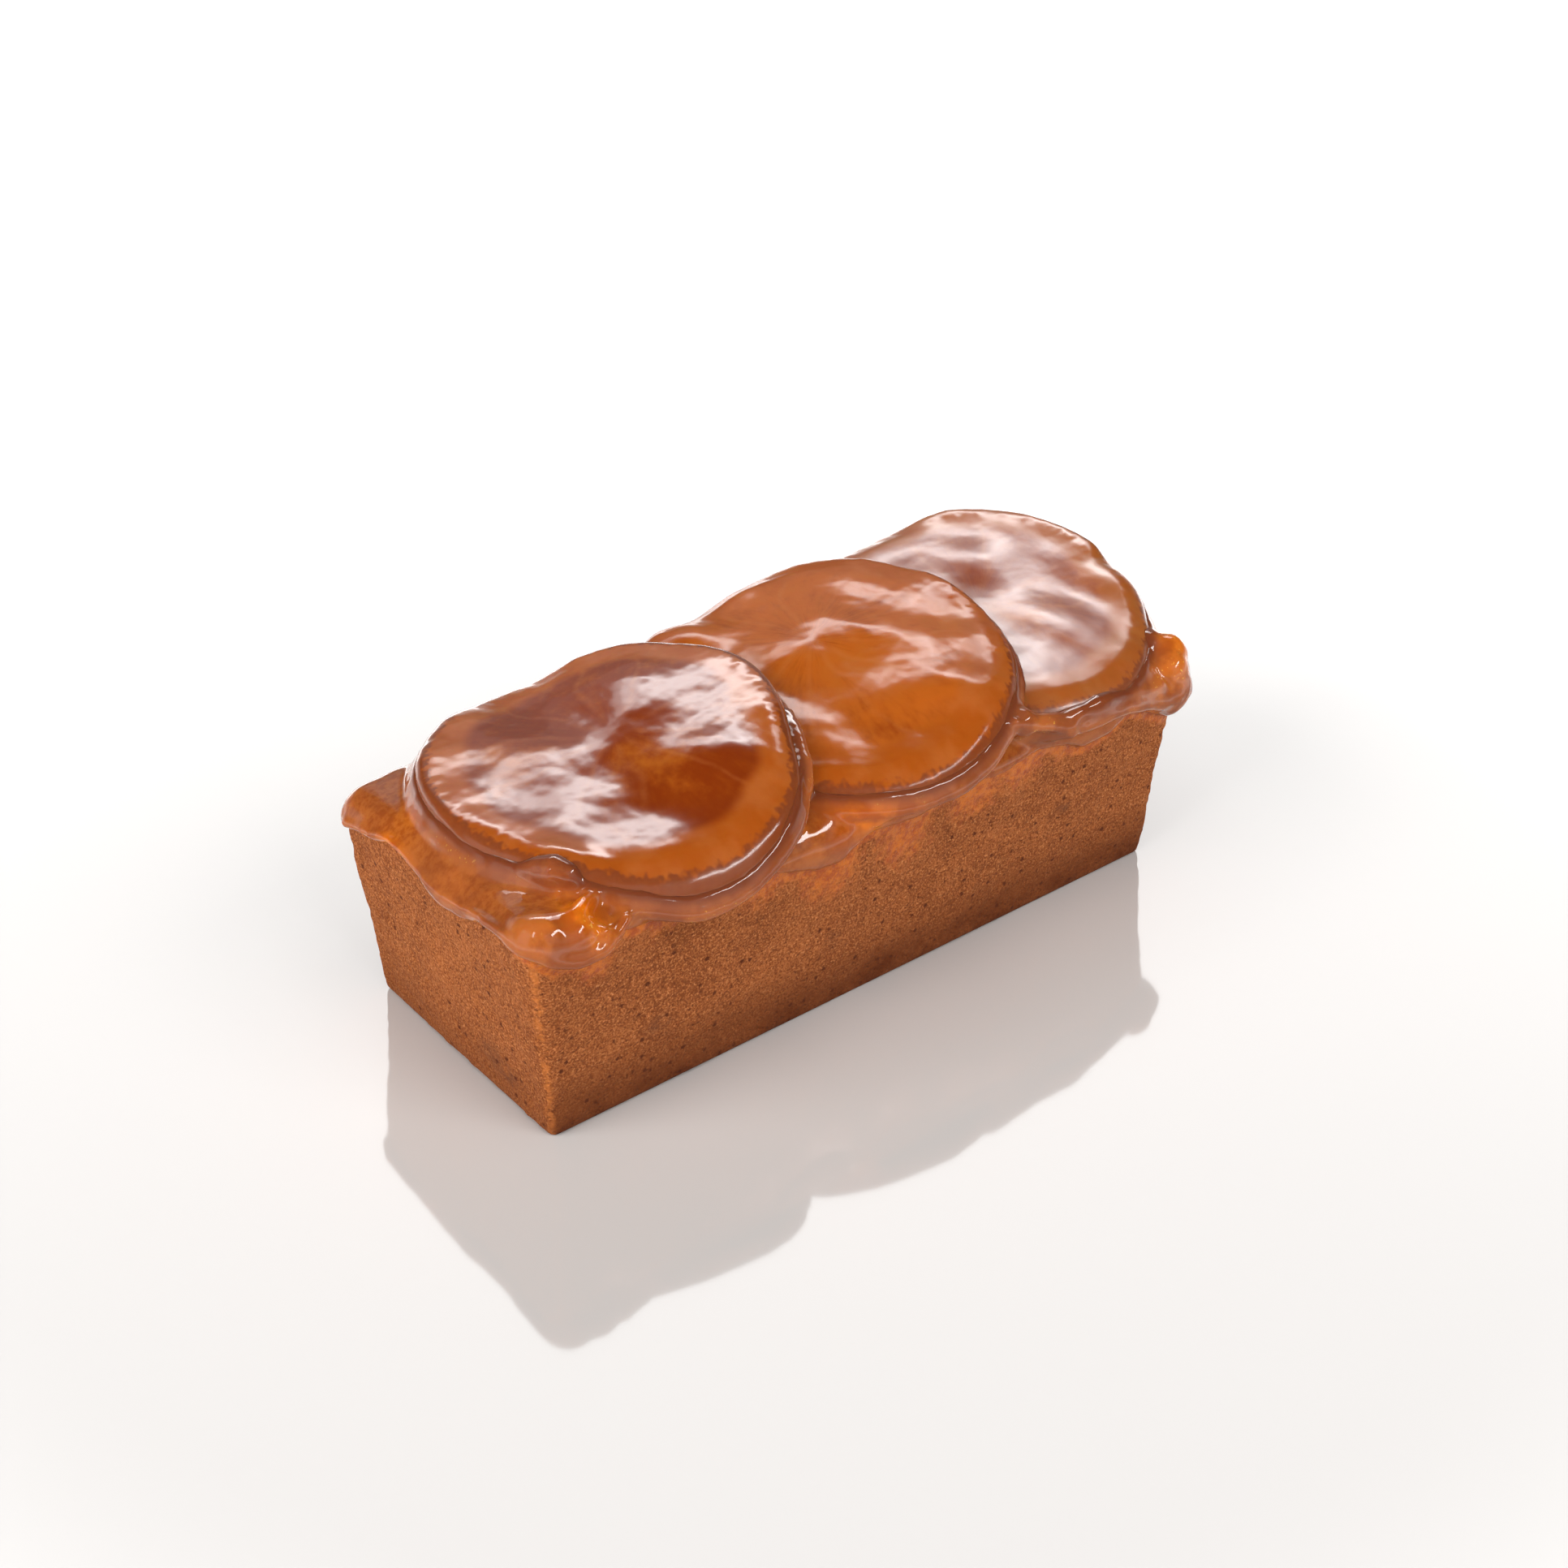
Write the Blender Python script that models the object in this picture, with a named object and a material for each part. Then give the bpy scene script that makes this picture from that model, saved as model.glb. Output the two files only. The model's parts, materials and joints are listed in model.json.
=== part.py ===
"""Orange loaf cake: a small baked loaf under jelly glaze, with three candied orange slices laid on it like tiles.

Metres, +Z up. The origin is the centre of the flat base. +X runs along the loaf towards the lowest slice, and -Y is
the long front face.
"""

import math

import bmesh
import bpy
from mathutils import Vector, noise

MM = 0.001

# Loaf
BASE_HALF = (75.0 * MM, 29.3 * MM)
RIM_HALF = (79.2 * MM, 33.2 * MM)
RIM_SHIFT = 0.5 * MM
BASE_CORNER = 1.2 * MM
RIM_CORNER = 4.5 * MM
BASE_EDGE = 0.5 * MM
SHOULDER = 5.0 * MM
RIM_FRONT_LEFT = 42.5 * MM
RIM_BACK_LEFT = 43.0 * MM
RIM_FRONT_RIGHT = 43.5 * MM
RIM_BACK_RIGHT = 52.0 * MM
DOME = 3.0 * MM
DOME_REACH = 90.0 * MM
RAISED_CORNER = (-79.0 * MM, -33.0 * MM, 4.0 * MM, 10.0 * MM)
WALL_UNEVENNESS = 0.35 * MM
TOP_UNEVENNESS = 0.5 * MM
WALL_LEVELS = 7
SHOULDER_LEVELS = 4
CAP_LEVELS = 5
CAP_RIDGE = 0.12

# Points round a level of the loaf, from the middle of the left end, front side first
HALF_END_STEPS = 5
CORNER_STEPS = 4
LONG_STEPS = 24

# Glaze
GAP = 0.3 * MM
GLAZE_TOP = 1.2 * MM
GLAZE_SIDE = 1.0 * MM
GLAZE_EDGE_DEPTH = -1.6 * MM
GLAZE_RIM_LEVELS = 9
# Each run of glaze over the rim: where it is, how far it hangs below the shoulder, its half-width, its extra thickness
RUNS = (
    (-71.0 * MM, -33.0 * MM, 4.4 * MM, 7.5 * MM, 2.0 * MM),
    (-79.0 * MM, -5.0 * MM, 2.5 * MM, 7.0 * MM, 0.7 * MM),
    (-79.0 * MM, 12.0 * MM, -3.0 * MM, 5.0 * MM, 0.0 * MM),
    (-78.0 * MM, 31.0 * MM, 2.0 * MM, 9.0 * MM, 0.0 * MM),
    (-42.0 * MM, -33.0 * MM, 1.5 * MM, 14.0 * MM, 0.3 * MM),
    (-16.0 * MM, -33.0 * MM, 5.0 * MM, 9.0 * MM, 0.6 * MM),
    (6.0 * MM, -33.0 * MM, 3.0 * MM, 12.0 * MM, 0.4 * MM),
    (52.0 * MM, -33.0 * MM, 3.0 * MM, 10.0 * MM, 0.5 * MM),
    (79.0 * MM, -31.0 * MM, 5.5 * MM, 11.0 * MM, 2.2 * MM),
    (80.0 * MM, 8.0 * MM, 4.0 * MM, 10.0 * MM, 0.8 * MM),
    (60.0 * MM, 33.0 * MM, 5.0 * MM, 10.0 * MM, 0.8 * MM),
    (12.0 * MM, 33.0 * MM, 3.0 * MM, 12.0 * MM, 0.5 * MM),
    (-30.0 * MM, 33.0 * MM, 6.0 * MM, 9.0 * MM, 0.8 * MM),
)

# Slices
SLICE_THICKNESS = 4.2 * MM
SLICE_EDGE = 1.7 * MM
FLESH_SHARE = 0.79
FLESH_SINK = 0.7 * MM
SLICE_WAVE = 0.45 * MM
OUTLINE_WAVE = 0.012
SLICE_STEPS = 48
SLICE_TOP_RINGS = 7
SLICE_EDGE_RINGS = 4
SLICE_UNDER_RINGS = (0.94, 0.86, 0.74, 0.56, 0.3, 0.0)
BRIDGE_SLOPE = 0.14
BRIDGE_BEND = 90.0 * MM
BRIDGE_BLEND = 1.6 * MM
RIM_BLEND = 3.0 * MM

CRUST_COLOUR = (0.33, 0.13, 0.055)
GLAZE_COLOUR = (0.50, 0.17, 0.02)
ORANGE_COLOUR = (0.42, 0.13, 0.02)


def clear_scene():
    for old in list(bpy.data.objects):
        bpy.data.objects.remove(old, do_unlink=True)


def material(name, colour, roughness, coat=0.0):
    made = bpy.data.materials.new(name)
    made.use_nodes = True
    shader = made.node_tree.nodes["Principled BSDF"]
    shader.inputs["Base Color"].default_value = (*colour, 1.0)
    shader.inputs["Roughness"].default_value = roughness
    shader.inputs["Metallic"].default_value = 0.0
    shader.inputs["Coat Weight"].default_value = coat
    return made


def mix(low, high, share):
    return low + (high - low) * share


def bump(distance, half_width):
    """1 at no distance, falling smoothly to 0 at twice the half-width."""
    return math.exp(-((distance / half_width) ** 2))


def waviness(x, y, z, size, seed):
    """A smooth uneven value from about -1 to 1, which changes over the given size."""
    return 2.0 * noise.noise(Vector((x / size + seed, y / size - seed, z / size + 0.5 * seed)))


def outline(half_length, half_width, corner):
    """Points round a rounded rectangle from the middle of its left end, past the front side, with x and y of each."""
    quarter = []
    flat_end = half_width - corner
    flat_side = half_length - corner
    for i in range(HALF_END_STEPS):
        quarter.append((-half_length, -flat_end * i / HALF_END_STEPS))
    for i in range(CORNER_STEPS):
        turn = 0.5 * math.pi * i / CORNER_STEPS
        quarter.append((-flat_side - corner * math.cos(turn), -flat_end - corner * math.sin(turn)))
    front = [(mix(-flat_side, flat_side, i / LONG_STEPS), -half_width) for i in range(LONG_STEPS + 1)]
    turned = [(-x, y) for x, y in reversed(quarter)]
    lower = quarter + front + turned
    upper = [(x, -y) for x, y in reversed(lower[1:-1])]
    return lower + upper


def rim_height(x, y):
    along = 0.5 + 0.5 * x / RIM_HALF[0]
    across = 0.5 + 0.5 * y / RIM_HALF[1]
    front = mix(RIM_FRONT_LEFT, RIM_FRONT_RIGHT, along)
    back = mix(RIM_BACK_LEFT, RIM_BACK_RIGHT, along)
    return mix(front, back, across)


def dome_height(x, y):
    along = min(1.0, abs(x) / DOME_REACH)
    across = min(1.0, abs(y) / RIM_HALF[1])
    corner_x, corner_y, height, half_width = RAISED_CORNER
    raised = height * bump(math.hypot(x - corner_x, y - corner_y), half_width)
    return DOME * (1.0 - along**6) * (1.0 - across**2) + raised


def held_back(value, limit):
    """The value, held at the limit with a smooth start."""
    size = abs(value)
    if size > limit - RIM_BLEND:
        short = max(0.0, limit + RIM_BLEND - size)
        size = limit - short**2 / (4.0 * RIM_BLEND)
    return math.copysign(size, value)


def drape(past, bend):
    """How far a soft sheet droops past an edge: round a bend of this radius, then straight on at 45 degrees."""
    straight = bend * math.sqrt(0.5)
    if past < straight:
        return bend - math.sqrt(bend**2 - past**2)
    return bend - straight + (past - straight)


def crust_top(x, y):
    """Height of the baked top, without its rounded shoulder."""
    return rim_height(x, y) + dome_height(x, y) + TOP_UNEVENNESS * waviness(x, y, 0.0, 22 * MM, 3.1)


def level_point(index, share_up, outward=0.0):
    """A point of the wall, share_up of the way from the base to the rim and that far outside the wall."""
    half_length = mix(BASE_HALF[0], RIM_HALF[0], share_up) + outward
    half_width = mix(BASE_HALF[1], RIM_HALF[1], share_up) + outward
    corner = max(0.5 * MM, mix(BASE_CORNER, RIM_CORNER, share_up) + outward)
    x, y = outline(half_length, half_width, corner)[index]
    return Vector((x + RIM_SHIFT * share_up, y, 0.0))


def wall_point(index, height, outward=0.0):
    rough = level_point(index, 1.0)
    share_up = height / rim_height(rough.x, rough.y)
    uneven = WALL_UNEVENNESS * waviness(rough.x, rough.y, height, 17 * MM, 1.7)
    point = level_point(index, share_up, outward + uneven * min(1.0, height / (6 * MM)))
    point.z = height
    return point


def shoulder_point(index, turn, outward=0.0):
    """A point of the rounded shoulder: turn 0 is where the top begins, and a quarter turn is where the wall begins."""
    inset = SHOULDER * (1.0 - math.sin(turn))
    point = level_point(index, 1.0, outward * math.sin(turn) - inset)
    uneven = WALL_UNEVENNESS * waviness(point.x, point.y, rim_height(point.x, point.y), 17 * MM, 1.7)
    point = level_point(index, 1.0, outward * math.sin(turn) - inset + uneven * math.sin(turn))
    point.z = crust_top(point.x, point.y) - (SHOULDER - outward) * (1.0 - math.cos(turn))
    point.z += outward * math.cos(turn) - (outward * (1.0 - math.cos(turn)))
    return point


def cap_point(index, share_in, outward=0.0):
    """A point of the baked top: share_in 1 is at the shoulder, and 0 is on the ridge along the middle."""
    half_width = (RIM_HALF[1] - SHOULDER) * share_in
    half_length = RIM_HALF[0] - SHOULDER - (1.0 - share_in) * (RIM_HALF[1] - SHOULDER)
    corner = max(0.5 * half_width, (RIM_CORNER - SHOULDER) * share_in)
    corner = mix(corner, max(RIM_CORNER - SHOULDER, 0.5 * MM), share_in)
    x, y = outline(half_length, half_width, corner)[index]
    x += RIM_SHIFT
    return Vector((x, y, crust_top(x, y) + outward))


def edges_between(ring):
    return [edge_of(ring[i], ring[(i + 1) % len(ring)]) for i in range(len(ring))]


def edge_of(first, second):
    return next(edge for edge in first.link_edges if edge.other_vert(first) is second)


def first_ring(bm, points):
    made = bmesh.ops.create_circle(bm, segments=len(points), radius=1.0)
    ring = sorted(made["verts"], key=lambda vert: vert.index)
    for vert, point in zip(ring, points):
        vert.co = point
    return ring


def next_ring(bm, ring, points):
    """Extrudes the open ring and puts the new one on the points."""
    made = bmesh.ops.extrude_edge_only(bm, edges=edges_between(ring))
    fresh = {item for item in made["geom"] if isinstance(item, bmesh.types.BMVert)}
    raised = []
    for vert, point in zip(ring, points):
        partner = next(edge.other_vert(vert) for edge in vert.link_edges if edge.other_vert(vert) in fresh)
        partner.co = point
        raised.append(partner)
    return raised


def close_along_ridge(bm, ring):
    """Closes a long flat ring with rungs from its front side to its back side."""
    count = len(ring)
    bm.faces.new((ring[0], ring[1], ring[count - 1]))
    for i in range(1, count // 2 - 1):
        bm.faces.new((ring[i], ring[i + 1], ring[count - i - 1], ring[count - i]))
    bm.faces.new((ring[count // 2 - 1], ring[count // 2], ring[count // 2 + 1]))


def finish_object(name, bm, finish, smooth_angle):
    bmesh.ops.recalc_face_normals(bm, faces=bm.faces)
    mesh = bpy.data.meshes.new(name)
    bm.to_mesh(mesh)
    bm.free()
    mesh.shade_smooth()
    mesh.set_sharp_from_angle(angle=math.radians(smooth_angle))
    mesh.materials.append(finish)
    made = bpy.data.objects.new(name, mesh)
    bpy.context.scene.collection.objects.link(made)
    return made


def ring_count():
    return len(outline(1.0, 1.0, 0.1))


def build_cake(finish):
    """The loaf: flat base, flared walls, rounded shoulder and domed top."""
    bm = bmesh.new()
    indices = range(ring_count())
    base = [level_point(i, 0.0, -BASE_EDGE) for i in indices]
    ring = first_ring(bm, base)
    bm.faces.new(ring)
    for level in range(WALL_LEVELS + 1):
        points = []
        for i in indices:
            rough = level_point(i, 1.0)
            top = crust_top(rough.x, rough.y) - SHOULDER
            points.append(wall_point(i, mix(BASE_EDGE, top, level / WALL_LEVELS)))
        ring = next_ring(bm, ring, points)
    for level in range(1, SHOULDER_LEVELS + 1):
        turn = 0.5 * math.pi * (1.0 - level / SHOULDER_LEVELS)
        ring = next_ring(bm, ring, [shoulder_point(i, turn) for i in indices])
    for level in range(1, CAP_LEVELS + 1):
        share = mix(1.0, CAP_RIDGE, level / CAP_LEVELS)
        ring = next_ring(bm, ring, [cap_point(i, share) for i in indices])
    close_along_ridge(bm, ring)
    return finish_object("cake", bm, finish, 35)


def glaze_drop(point):
    """How far the glaze hangs below the shoulder at this point of the rim. Below zero, it ends on the shoulder."""
    drop = GLAZE_EDGE_DEPTH * (1.0 + 0.7 * waviness(point.x, point.y, 0.0, 9 * MM, 7.3))
    for x, y, depth, half_width, _ in RUNS:
        drop += depth * bump(math.hypot(point.x - x, point.y - y), half_width)
    return max(-0.6 * SHOULDER, drop)


def glaze_extra(point):
    """How much thicker the glaze is at this point of the rim than elsewhere."""
    return sum(
        extra * bump(math.hypot(point.x - x, point.y - y), half_width)
        for x, y, _, half_width, extra in RUNS
    )


def glaze_top(x, y):
    """Height of the glaze's upper face over the top and the shoulder. Past the shoulder it is the floor."""
    past_x = max(0.0, abs(x) - (RIM_HALF[0] - SHOULDER))
    past_y = max(0.0, abs(y) - (RIM_HALF[1] - SHOULDER))
    past = math.hypot(past_x, past_y)
    extra = glaze_extra(Vector((held_back(x, RIM_HALF[0]), held_back(y, RIM_HALF[1]), 0.0)))
    outward = GAP + GLAZE_TOP + extra
    if past >= SHOULDER + outward:
        return 0.0
    turn = math.asin(past / (SHOULDER + outward))
    outward = GAP + GLAZE_TOP + extra * min(1.0, math.sin(2.0 * turn) + math.sin(turn) ** 2)
    return crust_top(x, y) - SHOULDER * (1.0 - math.cos(turn)) + outward * math.cos(turn)


def rim_point(index, distance, outward):
    """A point of the rim, the given distance down the profile from where the top begins to curve over."""
    around = 0.5 * math.pi * SHOULDER
    if distance <= around:
        return shoulder_point(index, distance / SHOULDER, outward)
    rough = level_point(index, 1.0)
    return wall_point(index, crust_top(rough.x, rough.y) - SHOULDER - (distance - around), outward)


def glaze_points(indices, layer):
    """Rings of one face of the glaze, from the ridge to the hanging edge. Layer 0 is the lower face, 1 the upper."""
    rings = []
    for level in range(CAP_LEVELS + 1):
        share = mix(CAP_RIDGE, 1.0, level / CAP_LEVELS)
        rings.append([cap_point(i, share, GAP + layer * GLAZE_TOP) for i in indices])
    for level in range(1, GLAZE_RIM_LEVELS + 1):
        share = level / GLAZE_RIM_LEVELS
        points = []
        for i in indices:
            rough = level_point(i, 1.0)
            length = 0.5 * math.pi * SHOULDER + glaze_drop(rough)
            rounding = math.sqrt(max(0.0, 1.0 - share**6))
            swell = math.sin(min(0.5 * math.pi, math.pi * share))
            thick = mix(GLAZE_TOP, GLAZE_SIDE, swell) + glaze_extra(rough) * swell
            points.append(rim_point(i, length * share, GAP + layer * thick * mix(0.3, 1.0, rounding)))
        rings.append(points)
    return rings


def build_glaze(finish):
    """The jelly glaze: a thin coat over the top that hangs over the rim in runs."""
    bm = bmesh.new()
    indices = range(ring_count())
    upper = glaze_points(indices, 1.0)
    lower = glaze_points(indices, 0.0)
    ring = first_ring(bm, upper[0])
    close_along_ridge(bm, ring)
    for points in upper[1:] + lower[::-1]:
        ring = next_ring(bm, ring, points)
    close_along_ridge(bm, ring)
    return finish_object("glaze", bm, finish, 50)


class Slice:
    """One candied orange slice, which drapes over what is under it."""

    def __init__(self, name, centre, half_size, bend, curl, seed, below=None):
        """Bend is the radius it droops with beyond the rim. Curl is how far it rises, and towards which angle."""
        self.name = name
        self.x, self.y = centre
        self.half_size = half_size
        self.radius = max(half_size)
        self.bend = bend
        self.curl = curl
        self.seed = seed
        self.below = below

    def rim_radius(self, angle):
        half_x, half_y = self.half_size
        even = 1.0 / math.hypot(math.cos(angle) / half_x, math.sin(angle) / half_y)
        wave = math.sin(2 * angle + self.seed) + 0.6 * math.sin(3 * angle - 2 * self.seed)
        return even * (1.0 + OUTLINE_WAVE * wave)

    def support(self, x, y):
        """Height of the slice's underside."""
        held_x = held_back(x, RIM_HALF[0] - SHOULDER)
        held_y = held_back(y, RIM_HALF[1] - SHOULDER)
        front = y < 0.0
        past = math.hypot(x - held_x, y - held_y) if front else abs(y - held_y)
        bend = self.bend[0] if front else self.bend[1]
        crust = crust_top(held_back(x, RIM_HALF[0]), held_back(y, RIM_HALF[1]))
        rest = crust + 2.0 * GAP + GLAZE_TOP - drape(past, bend)
        rest = max(rest, glaze_top(x, y) + GAP + 0.1 * MM)
        height, direction = self.curl
        out_x = (x - self.x) / self.radius
        out_y = (y - self.y) / self.radius
        towards = max(0.0, out_x * math.cos(direction) + out_y * math.sin(direction))
        rest += height * towards**2
        if self.below is None:
            return rest
        lower = self.below
        offset = math.hypot(x - lower.x, y - lower.y)
        angle = math.atan2(y - lower.y, x - lower.x)
        outside = max(0.0, offset - lower.rim_radius(angle))
        bridge = lower.crown(x, y) + GAP - BRIDGE_SLOPE * outside - outside**2 / (2.0 * BRIDGE_BEND)
        return 0.5 * (rest + bridge + math.hypot(rest - bridge, BRIDGE_BLEND))

    def crown(self, x, y):
        """Height of the slice's upper face, without its rounded edge or sunken flesh."""
        wave = SLICE_WAVE * waviness(x, y, 0.0, 14 * MM, self.seed)
        return self.support(x, y) + SLICE_THICKNESS + wave

    def place(self, point):
        """Moves a point of the flat round slice to where it lies. Its z is its height above the underside."""
        angle = math.atan2(point.y, point.x)
        flat_radius = math.hypot(point.x, point.y)
        stretch = self.rim_radius(angle) / self.radius
        x = self.x + point.x * stretch
        y = self.y + point.y * stretch
        share_up = point.z / SLICE_THICKNESS
        sink = FLESH_SINK * share_up * bump(flat_radius, 0.86 * FLESH_SHARE * self.radius)
        height = mix(self.support(x, y), self.crown(x, y), share_up)
        return Vector((x, y, height - sink))

    def profile(self):
        """Half of the flat slice's section, from the middle of its top to the middle of its underside."""
        flat = self.radius - SLICE_EDGE
        points = [(flat * i / SLICE_TOP_RINGS, SLICE_THICKNESS) for i in range(SLICE_TOP_RINGS + 1)]
        for i in range(1, SLICE_EDGE_RINGS + 1):
            turn = math.pi * i / SLICE_EDGE_RINGS
            middle = 0.5 * SLICE_THICKNESS
            points.append((flat + SLICE_EDGE * math.sin(turn), middle + middle * math.cos(turn)))
        points += [(flat * share, 0.0) for share in SLICE_UNDER_RINGS]
        return points

    def build(self, finish):
        bm = bmesh.new()
        verts = [bm.verts.new((radius, 0.0, height)) for radius, height in self.profile()]
        edges = [bm.edges.new(pair) for pair in zip(verts, verts[1:])]
        bmesh.ops.spin(
            bm, geom=verts + edges, cent=(0, 0, 0), axis=(0, 0, 1), angle=2 * math.pi, steps=SLICE_STEPS,
            use_merge=True,
        )
        bmesh.ops.remove_doubles(bm, verts=bm.verts, dist=0.01 * MM)
        for vert in bm.verts:
            vert.co = self.place(vert.co)
        return finish_object(self.name, bm, finish, 50)


def main():
    clear_scene()
    build_cake(material("crust", CRUST_COLOUR, 0.8))
    build_glaze(material("jelly_glaze", GLAZE_COLOUR, 0.12, 1.0))
    right = Slice(
        "orange_slice_right", (51.7 * MM, 0.0), (34.4 * MM, 36.7 * MM), (30 * MM, 14 * MM),
        (4.5 * MM, math.radians(25)), 2.3,
    )
    middle = Slice(
        "orange_slice_middle", (10.9 * MM, -0.7 * MM), (37.3 * MM, 37.2 * MM), (30 * MM, 9 * MM),
        (0.0, 0.0), 5.1, right,
    )
    left = Slice(
        "orange_slice_left", (-39.4 * MM, -1.0 * MM), (34.5 * MM, 37.0 * MM), (12 * MM, 30 * MM),
        (0.0, 0.0), 8.7, middle,
    )
    candied = material("candied_orange", ORANGE_COLOUR, 0.2, 1.0)
    for orange_slice in (right, middle, left):
        orange_slice.build(candied)


main()
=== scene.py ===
"""Looks of the orange loaf cake: baked crumb, clear jelly glaze and three candied orange slices.

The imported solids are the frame. Each of them is replaced by a finer piece of the same form: the loaf gets
its crumb and pores, the slices their rind, pith, membranes and flesh, and the glaze its collars, runs and
beads. Places are in the frame's own axes: +X along the loaf, -Y the long front face, +Z up.
"""

from __future__ import annotations

import json
import logging
import math
from collections.abc import Sequence
from dataclasses import dataclass, field
from enum import Enum

import bmesh
import bpy
from bmesh.types import BMesh
from bpy.types import Collection, Material, Mesh, Node, NodeSocket, NodeTree, Object
from mathutils import Matrix, Vector, noise
from mathutils.bvhtree import BVHTree

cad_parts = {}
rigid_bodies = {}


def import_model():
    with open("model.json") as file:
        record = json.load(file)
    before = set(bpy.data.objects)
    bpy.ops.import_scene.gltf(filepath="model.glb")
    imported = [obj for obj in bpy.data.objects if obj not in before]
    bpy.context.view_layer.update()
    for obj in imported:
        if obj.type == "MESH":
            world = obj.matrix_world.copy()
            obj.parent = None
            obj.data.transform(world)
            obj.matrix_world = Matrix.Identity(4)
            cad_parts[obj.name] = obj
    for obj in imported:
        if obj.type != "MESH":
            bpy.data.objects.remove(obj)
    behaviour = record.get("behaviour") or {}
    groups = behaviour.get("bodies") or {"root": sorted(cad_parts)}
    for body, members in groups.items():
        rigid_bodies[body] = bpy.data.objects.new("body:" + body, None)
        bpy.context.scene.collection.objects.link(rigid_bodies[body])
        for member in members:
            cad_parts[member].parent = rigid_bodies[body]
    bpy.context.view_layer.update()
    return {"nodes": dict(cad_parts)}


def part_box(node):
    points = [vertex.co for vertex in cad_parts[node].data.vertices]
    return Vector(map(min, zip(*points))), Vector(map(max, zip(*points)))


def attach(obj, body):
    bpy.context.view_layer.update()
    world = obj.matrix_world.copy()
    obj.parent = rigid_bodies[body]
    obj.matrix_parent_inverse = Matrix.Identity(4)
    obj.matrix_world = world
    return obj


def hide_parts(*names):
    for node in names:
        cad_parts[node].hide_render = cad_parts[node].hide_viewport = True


LOG = logging.getLogger("orange_loaf_cake")
MM = 0.001
FRAME_SIDE = 1932
SENSOR = 36.0
BODY = "root"
WELD = 0.002 * MM
UP = Vector((0.0, 0.0, 1.0))
LEVEL = Vector((1.0, 1.0, 0.0))
# What the glossy finishes share: a matte body that glows a little, under a coat of jelly
UNDER_JELLY = {
    "Roughness": 0.45,
    "Specular IOR Level": 0.0,
    "Subsurface Radius": (1.0, 0.28, 0.06),
    "Subsurface Scale": 3.0 * MM,
}

Colour = tuple[float, float, float]
Pair = tuple[float, float]
Sockets = dict[str | int, object]
# The layers of a relief: how far apart the hills of each are, and how high
Layers = tuple[Pair, ...]
# x, y, z and radius, in millimetres
Spot = tuple[float, float, float, float]
# A rope of jelly, as the spots that it runs through
Rope = tuple[Spot, ...]


class Slot(Enum):
    """The material slots that the record names."""

    CRUST = "crust"
    JELLY = "jelly_glaze"
    ORANGE = "candied_orange"


@dataclass(frozen=True)
class Value:
    """A number socket of a shader, which Python's operators combine into Math nodes."""

    graph: Graph
    socket: NodeSocket

    def combined(self, operation: str, first: Value | float, second: Value | float = 0.0) -> Value:
        """The result of one Math node."""
        made = self.graph.node("ShaderNodeMath", {"operation": operation}, {0: first, 1: second})
        return Value(self.graph, made.outputs[0])

    def __add__(self, other: Value | float) -> Value:
        """The sum."""
        return self.combined("ADD", self, other)

    __radd__ = __add__

    def __sub__(self, other: Value | float) -> Value:
        """The difference."""
        return self.combined("SUBTRACT", self, other)

    def __rsub__(self, other: Value | float) -> Value:
        """The difference, with the number first."""
        return self.combined("SUBTRACT", other, self)

    def __mul__(self, other: Value | float) -> Value:
        """The product."""
        return self.combined("MULTIPLY", self, other)

    __rmul__ = __mul__

    def __pow__(self, other: Value | float) -> Value:
        """The power."""
        return self.combined("POWER", self, other)

    def __abs__(self) -> Value:
        """The absolute value."""
        return self.combined("ABSOLUTE", self)

    def larger(self, other: Value | float) -> Value:
        """The larger of the two."""
        return self.combined("MAXIMUM", self, other)

    def rising(self, low: float, high: float) -> Value:
        """A smooth step, from 0 at the low value to 1 at the high one."""
        made = self.graph.node(
            "ShaderNodeMapRange",
            {"interpolation_type": "SMOOTHSTEP"},
            {"Value": self, "From Min": low, "From Max": high},
        )
        return Value(self.graph, made.outputs[0])

    def falling(self, low: float, high: float) -> Value:
        """The opposite step, from 1 at the low value to 0 at the high one."""
        return 1.0 - self.rising(low, high)


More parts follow.
